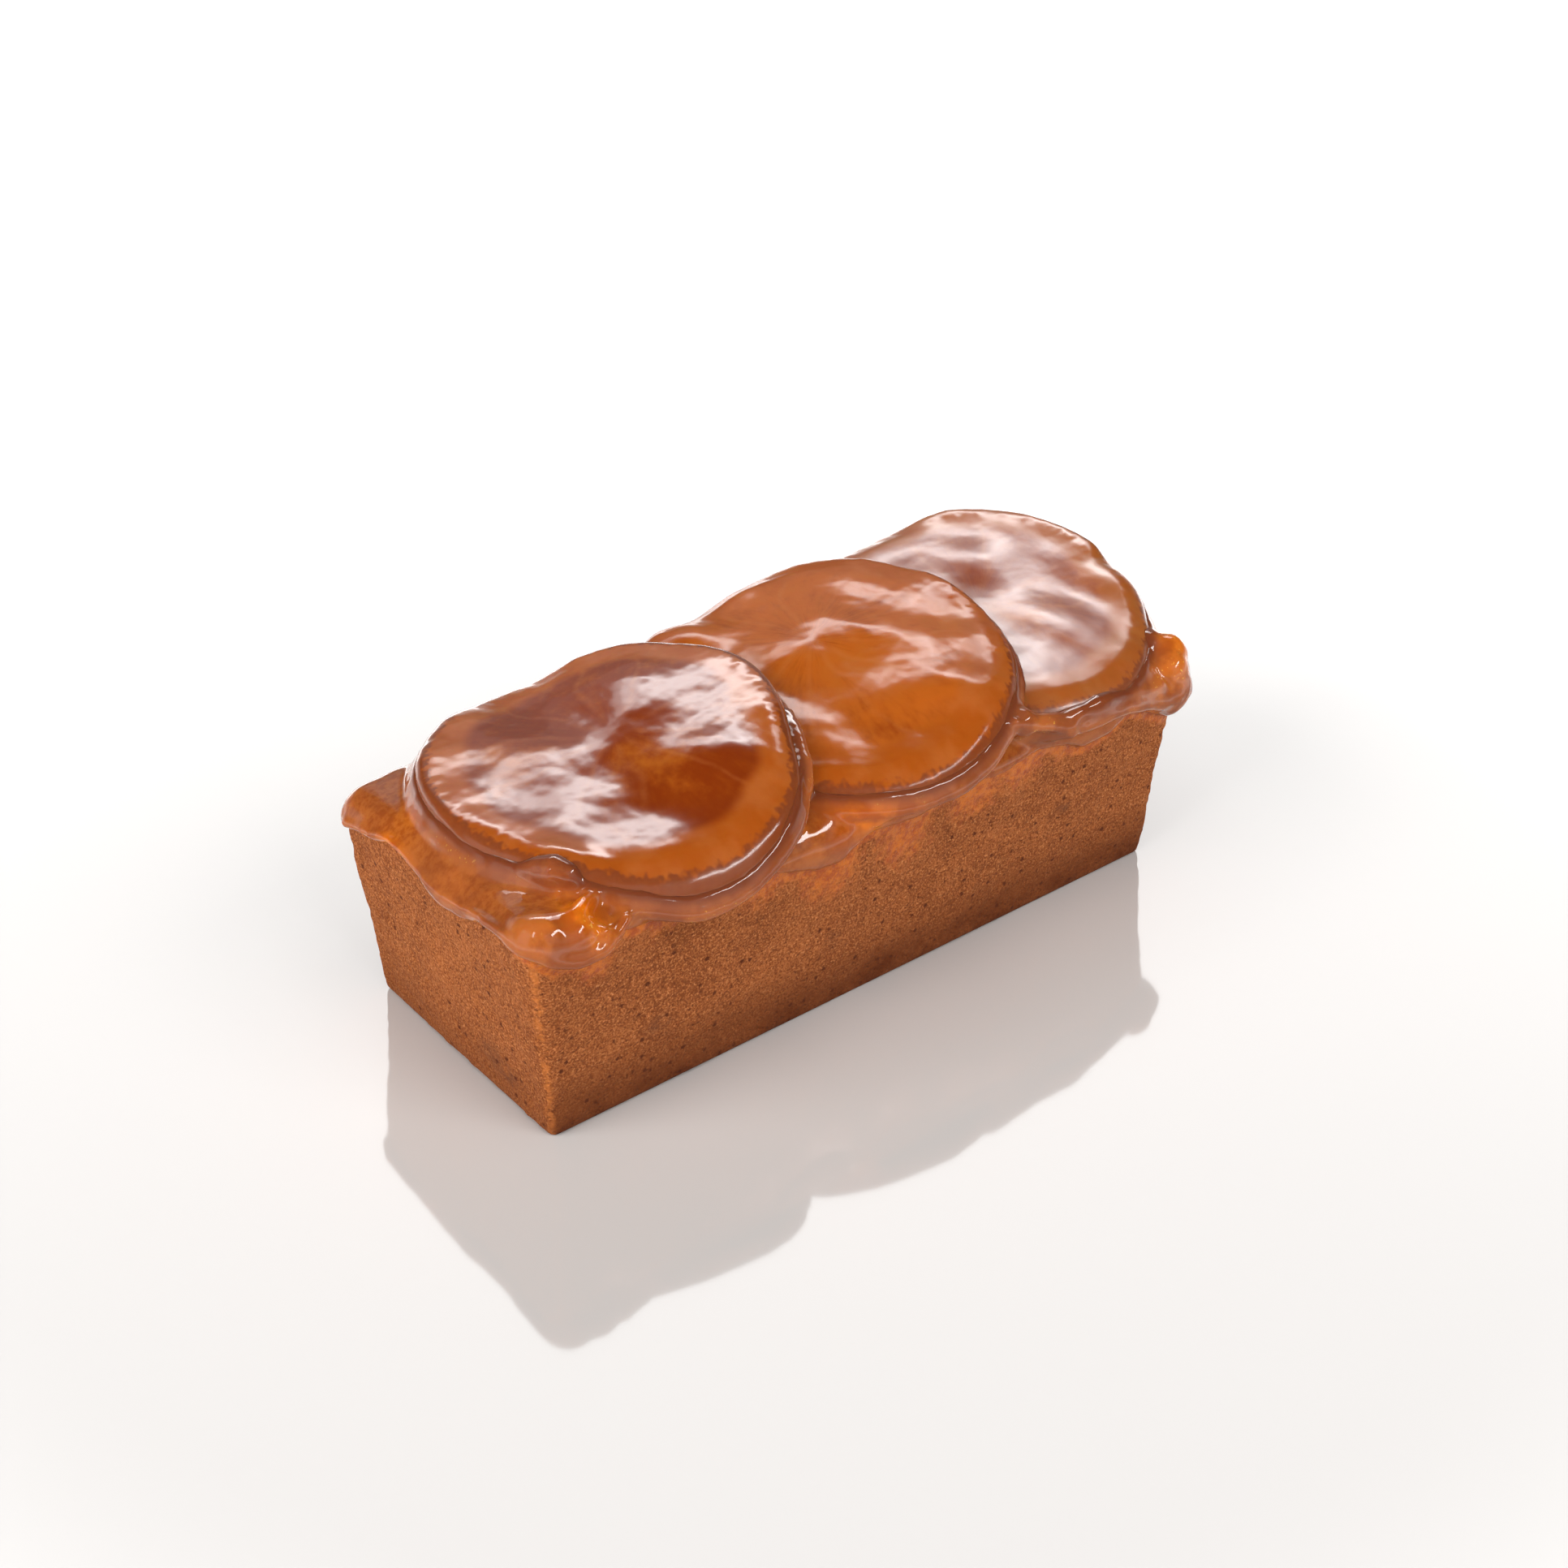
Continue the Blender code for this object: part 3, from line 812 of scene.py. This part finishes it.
@dataclass
class OrangeSlice:
    """One candied orange slice."""

    node: Object
    finish: OrangeFinish
    seed: float
    dents: tuple[Dent, ...] = ()
    trims: tuple[Dent, ...] = ()
    cell: float = 0.5 * MM
    rounds: int = 14
    waves: Layers = ((13.0 * MM, 0.09 * MM), (5.5 * MM, 0.035 * MM), (2.2 * MM, 0.018 * MM))
    streak: Pair = (1.3 * MM, 0.006 * MM)
    # The notched ring: its depth, its place and half-width as shares of the radius, and its notches' spacing
    tooth: float = 0.06 * MM
    tooth_ring: Pair = (0.91, 0.03)
    tooth_spacing: float = 0.045
    # The near edge is rounded off this much, from one share of the radius to the other
    rounding: float = 1.0 * MM
    rounded: Pair = (0.86, 1.0)
    near_side: Pair = (-0.3, 0.5)
    # How far up the surface has to face for the top's relief to start, and to be in full
    upward: Pair = (-0.2, 0.5)
    bins: int = 72
    radii: list[float] = field(default_factory=list)
    rim: list[Vector] = field(default_factory=list)
    centre: Vector = field(default_factory=Vector)

    def measure(self, bm: BMesh) -> None:
        """Finds the slice's centre, and its outline as the outermost point of each of many sectors.

        Args:
            bm: The slice's mesh.
        """
        low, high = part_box(self.node.name)
        self.centre = 0.5 * (low + high)
        outermost: list[tuple[float, Vector]] = [(0.0, Vector())] * self.bins
        for vert in bm.verts:
            offset = vert.co - self.centre
            index = int((math.atan2(offset.y, offset.x) / (2.0 * math.pi) + 1.0) * self.bins) % self.bins
            distance = math.hypot(offset.x, offset.y)
            if distance > outermost[index][0]:
                outermost[index] = (distance, vert.co.copy())
        raw = [distance for distance, _ in outermost]
        places = [place for _, place in outermost]
        around = [(i - 1, i, (i + 1) % self.bins) for i in range(self.bins)]
        self.radii = [(raw[i] + 2.0 * raw[j] + raw[k]) / 4.0 for i, j, k in around]
        self.rim = [(places[i] + 2.0 * places[j] + places[k]) / 4.0 for i, j, k in around]

    def reach(self, angle: float) -> float:
        """The outline's radius in a direction.

        Args:
            angle: The direction, in radians from +X.

        Returns:
            The radius.
        """
        position = (angle / (2.0 * math.pi) + 1.0) * self.bins - 0.5
        index = math.floor(position)
        share = position - index
        low, high = self.radii[index % self.bins], self.radii[(index + 1) % self.bins]
        return low * (1.0 - share) + high * share

    def relief(self, place: Vector, share: float, angle: float) -> float:
        """How far the slice's surface rises at a point.

        Args:
            place: The point.
            share: Its distance from the centre as a share of the outline's radius.
            angle: Its direction from the centre.

        Returns:
            The rise.
        """
        height = unevenness(place, self.waves, self.seed)
        size, depth = self.streak
        slanted = Vector((place.x + place.y, 2.2 * (place.y - place.x), place.z))
        height += depth * uneven(slanted, size, self.seed)
        rim = hill(share - self.tooth_ring[0], self.tooth_ring[1])
        turned = Vector((math.cos(angle), math.sin(angle), 0.0))
        height += self.tooth * rim * uneven(turned, self.tooth_spacing, self.seed)
        return height + self.lift(place)

    def lift(self, place: Vector) -> float:
        """How far the rises and dips lift the slice at a point."""
        return sum(dent.height * MM * dent.nearness(place) for dent in self.dents)

    def trim(self, bm: BMesh) -> None:
        """Draws the slice's edge in where jelly covers it.

        Args:
            bm: The slice's mesh.
        """
        for dent in self.trims:
            target = Vector((dent.x * MM, dent.y * MM, 0.0))
            inward = ((self.centre - target) * LEVEL).normalized()
            for vert in bm.verts:
                away = math.hypot(vert.co.x - target.x, vert.co.y - target.y)
                vert.co += inward * dent.height * MM * hill(away, dent.half_width * MM)

    def build(self) -> Object:
        """Makes the slice.

        Returns:
            The piece.
        """
        bm = even_skin(welded(self.node), self.cell, self.rounds)
        self.measure(bm)
        self.trim(bm)
        self.measure(bm)
        flat = bm.verts.layers.float_vector.new("flat")
        moves = []
        for vert in bm.verts:
            offset = vert.co - self.centre
            angle = math.atan2(offset.y, offset.x)
            share = math.hypot(offset.x, offset.y) / self.reach(angle)
            facing = smooth_step(vert.normal.z, *self.upward)
            # The third number, how far up the surface faces, also places the finish's painted shade under
            # the edge
            vert[flat] = Vector((share * math.cos(angle), share * math.sin(angle), facing))
            move = vert.normal * facing * self.relief(vert.co, share, angle)
            near = smooth_step(-offset.y / self.reach(angle), *self.near_side)
            move.z -= self.rounding * facing * near * smooth_step(share, *self.rounded)
            moves.append(move)
        for vert, move in zip(bm.verts, moves):
            vert.co += move
        return dressed(self.node.name + "_candied", bm, self.finish, self.node)


@dataclass
class JellyGlaze:
    """The jelly over the top: its coat, the collars round the slices, and the runs and beads at the rim."""

    node: Object
    loaf_node: Object
    slices: Sequence[OrangeSlice]
    cell: float = 0.5 * MM
    skin_rounds: int = 9
    # What lies this near to the loaf is the coat's underside, and it sinks this far into the loaf
    touch: float = 0.4 * MM
    sink: float = 0.9 * MM
    # The drop at the near corner: its fold and its rolled foot
    corner_runs: tuple[Rope, ...] = (
        (
            (-62.5, -28.5, 46, 1.3), (-66, -30.2, 46.6, 1.5), (-69.4, -32.2, 46.2, 1.5),
            (-70.8, -34.2, 44.6, 1.4), (-71, -35.2, 42.6, 1.3),
        ),
        (
            (-78.4, -31, 43.6, 1.4), (-75.4, -34.4, 41.4, 1.6), (-71.4, -36, 40.4, 1.6),
            (-67, -36.2, 40.6, 1.6), (-63, -35.2, 41.8, 1.4), (-59.6, -34, 43.6, 1.1),
        ),
    )
    # The curtains' lower edges: at the left end, under the middle slice, and two under the right one
    curtain_runs: tuple[Rope, ...] = (
        (
            (-79.5, 28.6, 39.4, 1), (-79.3, 24, 40.6, 0.8), (-79, 18.4, 41.6, 1),
            (-78.8, 13.5, 43.2, 0.8), (-78.8, 7, 43.4, 0.9), (-79.7, -3, 42.2, 1.1),
            (-79.5, -9.5, 42, 0.9), (-79.1, -15.4, 42.8, 0.8), (-79.2, -22, 43.6, 1),
            (-79.5, -28, 44.2, 0.9),
        ),
        (
            (-8, -33.6, 40.6, 0.8), (-4.9, -34.8, 41.2, 1.1), (-1.5, -36.6, 43.4, 1),
            (5.5, -37.7, 43.2, 1.2), (9.6, -38, 45, 1), (16.4, -37.4, 46.6, 1.1),
            (22, -35.6, 47.6, 0.9),
        ),
        (
            (28.6, -34.4, 49.6, 0.9), (33, -35.4, 47.6, 1), (37.5, -36, 46.2, 1),
            (41.5, -36.6, 44.8, 1.3), (45.2, -36.2, 46, 1), (50.9, -36.4, 45.2, 1.1),
            (56, -36.2, 43.6, 1.3), (61, -35.6, 42.6, 1.6), (66, -34.8, 41.2, 1.8),
            (71, -34, 39.8, 2.2), (75, -33, 39.2, 2.6),
        ),
        (
            (33, -34.4, 48, 1.6), (41.5, -35, 46, 1.8), (50.9, -35, 46.2, 1.9),
            (56, -34.6, 45.4, 2), (61, -34, 44.4, 2.2), (66, -33.6, 42.8, 2.4),
            (71, -32.4, 42.6, 2.6),
        ),
    )
    # The fold between the left slice and the middle one, and the rolled lip on the left slice's near edge
    fold_runs: tuple[Rope, ...] = (
        (
            (-7.4, -11.8, 55.2, 0.9), (-10.4, -18.6, 53.6, 1.2), (-13.4, -24.3, 51.8, 1.3),
            (-15.8, -28, 49.4, 1.2), (-18.6, -30.4, 47, 1), (-21, -32.6, 44.6, 0.8),
        ),
        (
            (-70.2, -17, 48.2, 1.2), (-68.4, -19.4, 48.9, 2.4), (-66.6, -22, 49.1, 3.2),
            (-64.8, -24.6, 48.4, 2.4), (-63.4, -26.6, 47.2, 1.2),
        ),
    )
    # Beads of jelly: in the near corner's drop, in the lobe at the right end, and under the right slice
    beads: tuple[Spot, ...] = (
        (-70, -32, 42.4, 4.6), (-75, -31, 43, 3.8), (-65.6, -35, 43, 1.5),
        (76, -30, 43.4, 5), (79, -28, 41, 5), (75.2, -25, 46.6, 4.4),
        (78.4, -27.4, 44.6, 5), (42.6, -36.2, 43.6, 1.7), (32.6, -33, 47.6, 3),
    )
    # Ropes round a slice's edge: radius, how far below the edge, and how far outside it. They swell
    # towards the left end, and are uneven over some distance by some share of their radius.
    collars: tuple[tuple[float, float, float], ...] = (
        (1.6 * MM, 1.5 * MM, -0.6 * MM),
        (1.7 * MM, 3.3 * MM, 0.5 * MM),
    )
    collar_swell: float = 0.25
    collar_wave: Pair = (9.0 * MM, 0.12)
    # Where thick jelly has a painted golden glow, standing in for light through it
    golds: tuple[Spot, ...] = (
        (-67, -31, 47, 6.5), (-8, -31, 44, 9), (78, -25, 46, 8),
        (-76, 12, 44, 5),
    )
    waves: Layers = ((7.0 * MM, 0.15 * MM), (3.0 * MM, 0.05 * MM))
    # Jelly this deep in the loaf, or this far in under a slice, is hidden, and loses most of its faces
    hidden_depth: float = 0.6 * MM
    hidden_share: float = 0.88
    thinning: float = 0.92
    # The distances from the slices and down through the jelly at which its colours are in full
    gap_reach: float = 8.0 * MM
    full_depth: float = 5.0 * MM
    ray_start: float = 0.02 * MM
    depth_rounds: int = 3

    def add_coat(self, bm: BMesh, loaf: BVHTree) -> None:
        """Adds the coat, its underside sunk into the loaf so that no air shows between them.

        Args:
            bm: The mesh that it joins.
            loaf: The loaf's surface.
        """
        coat = welded(self.node)
        coat.normal_update()
        lower = [vert for vert in coat.verts if loaf.find_nearest(vert.co)[3] < self.touch]
        moves = [vert.normal * self.sink for vert in lower]
        for vert, move in zip(lower, moves):
            vert.co += move
        add_mesh(bm, as_mesh("coat", coat))

    def add_collars(self, bm: BMesh) -> None:
        """Adds ropes of jelly round the edge of each slice.

        Args:
            bm: The mesh that they join.
        """
        size, height = self.collar_wave
        for orange in self.slices:
            for radius, drop, out in self.collars:
                points = []
                radii = []
                for place in orange.rim:
                    outward = ((place - orange.centre) * LEVEL).normalized()
                    foot = place + outward * out
                    points.append(foot + Vector((0.0, 0.0, orange.lift(foot) - drop)))
                    swell = 1.0 + self.collar_swell * max(0.0, -outward.x)
                    radii.append(radius * swell * (1.0 + height * uneven(place, size, orange.seed)))
                add_tube(bm, points, radii, True)

    def add_runs(self, bm: BMesh) -> None:
        """Adds the ropes and beads of jelly that have run over the rim.

        Args:
            bm: The mesh that they join.
        """
        for rope in (*self.corner_runs, *self.curtain_runs, *self.fold_runs):
            points = [Vector(knot[:3]) * MM for knot in rope]
            add_tube(bm, points, [knot[3] * MM for knot in rope], False)
        for x, y, z, radius in self.beads:
            radii = Vector((radius, radius, radius)) * MM
            matrix = Matrix.LocRotScale(Vector((x, y, z)) * MM, None, radii)
            bmesh.ops.create_icosphere(bm, subdivisions=3, radius=1.0, matrix=matrix)

    def hides(self, place: Vector, backs: Sequence[BVHTree]) -> bool:
        """Whether a point lies deep in the loaf or well under a slice.

        Args:
            place: The point.
            backs: The surfaces of the loaf and of the slices.

        Returns:
            Whether it can't be seen.
        """
        near, normal, _, distance = backs[0].find_nearest(place)
        if distance > self.hidden_depth and (place - near).dot(normal) < 0.0:
            return True
        for orange, tree in zip(self.slices, backs[1:]):
            offset = place - orange.centre
            share = math.hypot(offset.x, offset.y) / orange.reach(math.atan2(offset.y, offset.x))
            if share < self.hidden_share and tree.ray_cast(place, UP)[0]:
                return True
        return False

    def write_depths(self, bm: BMesh, backs: Sequence[BVHTree]) -> None:
        """Writes into the mesh how deep the jelly is, how much painted golden glow it has, and how far it is
        from the slices.

        Args:
            bm: The jelly's mesh.
            backs: The surfaces of the loaf and of the slices.
        """
        own = BVHTree.FromBMesh(bm)
        numbers = bm.verts.layers.float
        depth, golden, gap = (numbers.new(name) for name in ("depth", "golden", "gap"))
        for vert in bm.verts:
            vert[gap] = min(tree.find_nearest(vert.co)[3] for tree in backs[1:]) / self.gap_reach
            vert[golden] = nearness(vert.co, self.golds)
            start = vert.co - vert.normal * self.ray_start
            hits = [tree.ray_cast(start, -vert.normal, self.full_depth)[3] for tree in (*backs, own)]
            nearest = min([distance for distance in hits if distance is not None], default=self.full_depth)
            vert[depth] = nearest / self.full_depth
        for _ in range(self.depth_rounds):
            totals = [sum(edge.other_vert(vert)[depth] for edge in vert.link_edges) for vert in bm.verts]
            for vert, total in zip(bm.verts, totals):
                vert[depth] = 0.5 * vert[depth] + 0.5 * total / len(vert.link_edges)

    def build(self, opaque: Sequence[Object]) -> Object:
        """Makes the glaze.

        Args:
            opaque: The pieces that show through it: the loaf, then the slices.

        Returns:
            The piece.
        """
        bm = bmesh.new()
        self.add_coat(bm, BVHTree.FromBMesh(welded(self.loaf_node)))
        self.add_collars(bm)
        self.add_runs(bm)
        bm = even_skin(bm, self.cell, self.skin_rounds)
        moves = [vert.normal * unevenness(vert.co, self.waves) for vert in bm.verts]
        for vert, move in zip(bm.verts, moves):
            vert.co += move
        view = bpy.context.evaluated_depsgraph_get()
        backs = [BVHTree.FromObject(piece, view) for piece in opaque]
        hidden = [vert.index for vert in bm.verts if self.hides(vert.co, backs)]
        kept = 1.0 - self.thinning * len(hidden) / len(bm.verts)
        bm = modified(bm, "DECIMATE", {"ratio": kept, "vertex_group": "hidden"}, hidden)
        bm.normal_update()
        self.write_depths(bm, backs)
        return dressed("jelly_coat", bm, JellyFinish(), self.node)


def direction(azimuth: float, elevation: float) -> Vector:
    """The unit vector at one angle from -Y towards +X and another above the table, in degrees."""
    turn, rise = math.radians(azimuth), math.radians(elevation)
    return Vector((math.sin(turn) * math.cos(rise), -math.cos(turn) * math.cos(rise), math.sin(rise)))


@dataclass(frozen=True)
class SoftPanel:
    """A far studio panel with soft edges, in the surroundings. Its sizes are half-angles in degrees."""

    azimuth: float
    elevation: float
    width: float
    height: float
    fade: float
    radiance: float

    def glow(self, graph: Graph, view: NodeSocket) -> Value:
        """The panel's light.

        Args:
            graph: The graph to build in.
            view: The direction that is looked in.

        Returns:
            The light's radiance in that direction.
        """
        ahead = direction(self.azimuth, self.elevation)
        across = ahead.cross(UP).normalized()
        upright = across.cross(ahead)
        shade = graph.along(view, ahead).rising(0.0, 0.1) * self.radiance
        for axis, half in ((across, self.width), (upright, self.height)):
            reach = graph.along(view, axis)
            inner, outer = (math.sin(math.radians(angle)) for angle in (half, half + self.fade))
            shade = shade * abs(reach).falling(inner, outer)
        return shade


@dataclass(frozen=True)
class SoftBox:
    """A large studio light aimed at the cake, which shows either in gloss or in matte surfaces."""

    name: str
    azimuth: float
    elevation: float
    width: float
    height: float
    radiance: float
    distance: float
    mirrored: bool

    def place(self, receivers: Collection | None = None) -> None:
        """Hangs the light.

        Args:
            receivers: The only things that it lights, or None for everything.
        """
        away = direction(self.azimuth, self.elevation)
        light = bpy.data.lights.new(self.name, "AREA")
        light.shape = "RECTANGLE"
        light.size = self.width
        light.size_y = self.height
        light.energy = self.radiance * math.pi * self.width * self.height
        made = bpy.data.objects.new(self.name, light)
        made.location = away * self.distance
        made.rotation_euler = away.to_track_quat("Z", "Y").to_euler()
        if receivers:
            made.light_linking.receiver_collection = receivers
        made.visible_diffuse = not self.mirrored
        made.visible_glossy = self.mirrored
        bpy.context.scene.collection.objects.link(made)


@dataclass(frozen=True)
class Studio:
    """The camera at the photograph's angle, the lights, the sky and the pale table."""

    azimuth: float = -38.728
    elevation: float = 30.587
    roll: float = -0.2152
    distance: float = 429.957 * MM
    offset_right: float = 0.658 * MM
    offset_up: float = 26.755 * MM
    focal_pixels: float = 2600.0
    floor_radius: float = 3.0
    sky_pale: Colour = (0.80, 0.79, 0.78)
    sky_dark: Colour = (0.025, 0.024, 0.023)
    # The heights of a view's direction at which the sky starts to darken, and is dark
    horizon: Pair = (0.05, 0.27)
    backdrop: SoftBox = SoftBox("back_softbox", 141, 34, 2.4, 1.7, 4.4, 1.3, True)
    fills: tuple[SoftBox, ...] = (
        SoftBox("left_fill", -95, 28, 2.3, 2.07, 4.8, 3, False),
        SoftBox("front_fill", 10, 32, 2.3, 1.83, 3.8, 3, False),
        SoftBox("high_fill", -30, 69, 2.8, 2.07, 1.80, 3, False),
    )
    sheens: tuple[SoftBox, ...] = (
        SoftBox("sheen_core", 141, 43, 1, 0.24, 5.4, 3.00, True),
        SoftBox("sheen", 143, 43, 1.6, 0.38, 4, 3.02, True),
        SoftBox("sheen_edge", 144, 43, 2.1, 0.55, 3.4, 3.04, True),
        SoftBox("sheen_right", 120, 44, 0.9, 0.65, 4.5, 3.06, True),
        SoftBox("rim_front", 36, 40, 1.6, 0.24, 20, 3, True),
        SoftBox("rim_left", -62, 45, 0.24, 0.8, 9, 3, True),
        SoftBox("veil", 147, 36, 2.6, 1.4, 0.36, 3.10, True),
        SoftBox("veil_edge", 145, 33, 3.6, 2.1, 0.32, 3.12, True),
    )
    panels: tuple[SoftPanel, ...] = (
        SoftPanel(-95, 28, 16, 14, 10, 0.9),
        SoftPanel(10, 32, 16, 12, 10, 0.6),
    )

    def place_camera(self) -> None:
        """Sets up the camera, turned by its roll and moved from the cake's middle by its offsets."""
        back = direction(self.azimuth, self.elevation)
        roll = math.radians(self.roll)
        level = (-back).cross(UP).normalized()
        upright = level.cross(-back)
        right = math.cos(roll) * level + math.sin(roll) * upright
        up = -math.sin(roll) * level + math.cos(roll) * upright
        centre = self.distance * back + self.offset_right * right + self.offset_up * up
        data = bpy.data.cameras.new("camera")
        data.sensor_width = SENSOR
        data.lens = self.focal_pixels / FRAME_SIDE * SENSOR
        data.clip_start = 10.0 * MM
        camera = bpy.data.objects.new("camera", data)
        rows = [[right[i], up[i], back[i], centre[i]] for i in range(3)]
        camera.matrix_world = Matrix([*rows, [0, 0, 0, 1]])
        bpy.context.scene.collection.objects.link(camera)
        bpy.context.scene.camera = camera

    def lay_floor(self) -> Object:
        """Lays the table that the cake stands on.

        Returns:
            The table.
        """
        bm = bmesh.new()
        bmesh.ops.create_circle(bm, cap_ends=True, segments=96, radius=self.floor_radius)
        mesh = as_mesh("pale_table", bm)
        mesh.materials.append(FloorFinish().make())
        floor = bpy.data.objects.new("pale_table", mesh)
        bpy.context.scene.collection.objects.link(floor)
        return floor

    def hang_sky(self) -> None:
        """Makes the surroundings, pale at the horizon and dark overhead, with the panels in them."""
        world = bpy.data.worlds.new("studio")
        world.use_nodes = True
        graph = Graph(world.node_tree)
        view = graph.node("ShaderNodeTexCoord").outputs["Generated"]
        _, _, height = graph.parts(view)
        colour = graph.blend(height.rising(*self.horizon), self.sky_pale, self.sky_dark)
        for panel in self.panels:
            values = {0: 1.0, 6: colour, 7: panel.glow(graph, view)}
            bright = graph.node("ShaderNodeMix", {"data_type": "RGBA", "blend_type": "ADD"}, values)
            colour = bright.outputs[2]
        background = graph.node("ShaderNodeBackground", values={"Color": colour})
        graph.node("ShaderNodeOutputWorld", values={"Surface": background.outputs[0]})
        bpy.context.scene.world = world

    def add_sheen(self, pieces: Sequence[Object]) -> None:
        """Hangs the lights that only the cake's own gloss shows.

        Args:
            pieces: The cake's pieces.
        """
        receivers = bpy.data.collections.new("cake_only")
        for piece in pieces:
            receivers.objects.link(piece)
        for sheen in self.sheens:
            sheen.place(receivers)

    def build(self) -> None:
        """Sets up everything round the cake."""
        self.place_camera()
        self.hang_sky()
        receivers = bpy.data.collections.new("table_only")
        receivers.objects.link(self.lay_floor())
        self.backdrop.place(receivers)
        for fill in self.fills:
            fill.place()
        bpy.context.scene.view_settings.view_transform = "Standard"


def clear_scene() -> None:
    """Removes what a new file holds."""
    for old in list(bpy.data.objects):
        bpy.data.objects.remove(old, do_unlink=True)


def orange_slices(nodes: dict[str, Object]) -> list[OrangeSlice]:
    """The candied slices.

    Args:
        nodes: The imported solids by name.

    Returns:
        The slices from left to right, each lying on the next.
    """
    left = OrangeSlice(
        nodes["orange_slice_left"],
        OrangeFinish("candied_orange_left", 10, (0.05, 0.08), -0.04, 1.0, 0.15, edge_from=0.945),
        seed=1.3,
        dents=(
            Dent(-26, -19, 1.3, 9), Dent(-44, -19, -1.0, 7), Dent(-60, 20, 0.6, 12),
            Dent(-52, 28, 1.5, 7), Dent(-47, 4, 0.9, 9), Dent(-66, -21, 1.1, 4.5),
            Dent(-72, -4, 0.6, 5),
        ),
        trims=(Dent(-10, -18, 2.8, 13),),
    )
    middle = OrangeSlice(
        nodes["orange_slice_middle"],
        OrangeFinish(
            "candied_orange_middle", 11, (-0.02, 0.10), 0.26, 0.55, 0.15, flesh=(0.42, 0.095, 0.009)
        ),
        seed=4.1,
        dents=(
            Dent(9, 2, 1.0, 9), Dent(16, -19, 0.8, 9), Dent(11, -27, -0.8, 4), Dent(17, -29, -0.8, 4),
            Dent(37, -15, 0.5, 6), Dent(5, -31, 0.6, 5), Dent(1, -22, -0.4, 6), Dent(-4, 25, 2.2, 7),
        ),
    )
    pale = {"pith": (0.34, 0.083, 0.011), "pith_pale": (0.34, 0.096, 0.018)}
    right = OrangeSlice(
        nodes["orange_slice_right"],
        OrangeFinish("candied_orange_right", 9, (0.0, 0.0), 0.12, 1.0, 0.235, coat_index=1.65, **pale),
        seed=7.7,
        dents=(Dent(59, -12, 0.5, 10), Dent(35, -28, -0.7, 8), Dent(81, -12, 1.1, 7), Dent(61, 11, 0.5, 7)),
        rounds=30,
        waves=((13.0 * MM, 0.07 * MM), (5.5 * MM, 0.020 * MM), (2.2 * MM, 0.010 * MM)),
    )
    return [left, middle, right]


def main() -> None:
    """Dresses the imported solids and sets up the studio."""
    logging.basicConfig(level=logging.INFO, format="%(message)s")
    clear_scene()
    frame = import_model()
    nodes = frame["nodes"]
    studio = Studio()
    studio.build()
    loaf = Loaf(nodes["cake"], nodes["glaze"]).build()
    slices = orange_slices(nodes)
    pieces = [orange.build() for orange in slices]
    jelly = JellyGlaze(nodes["glaze"], nodes["cake"], slices).build([loaf, *pieces])
    studio.add_sheen([loaf, *pieces, jelly])


if __name__ == "__main__":
    main()
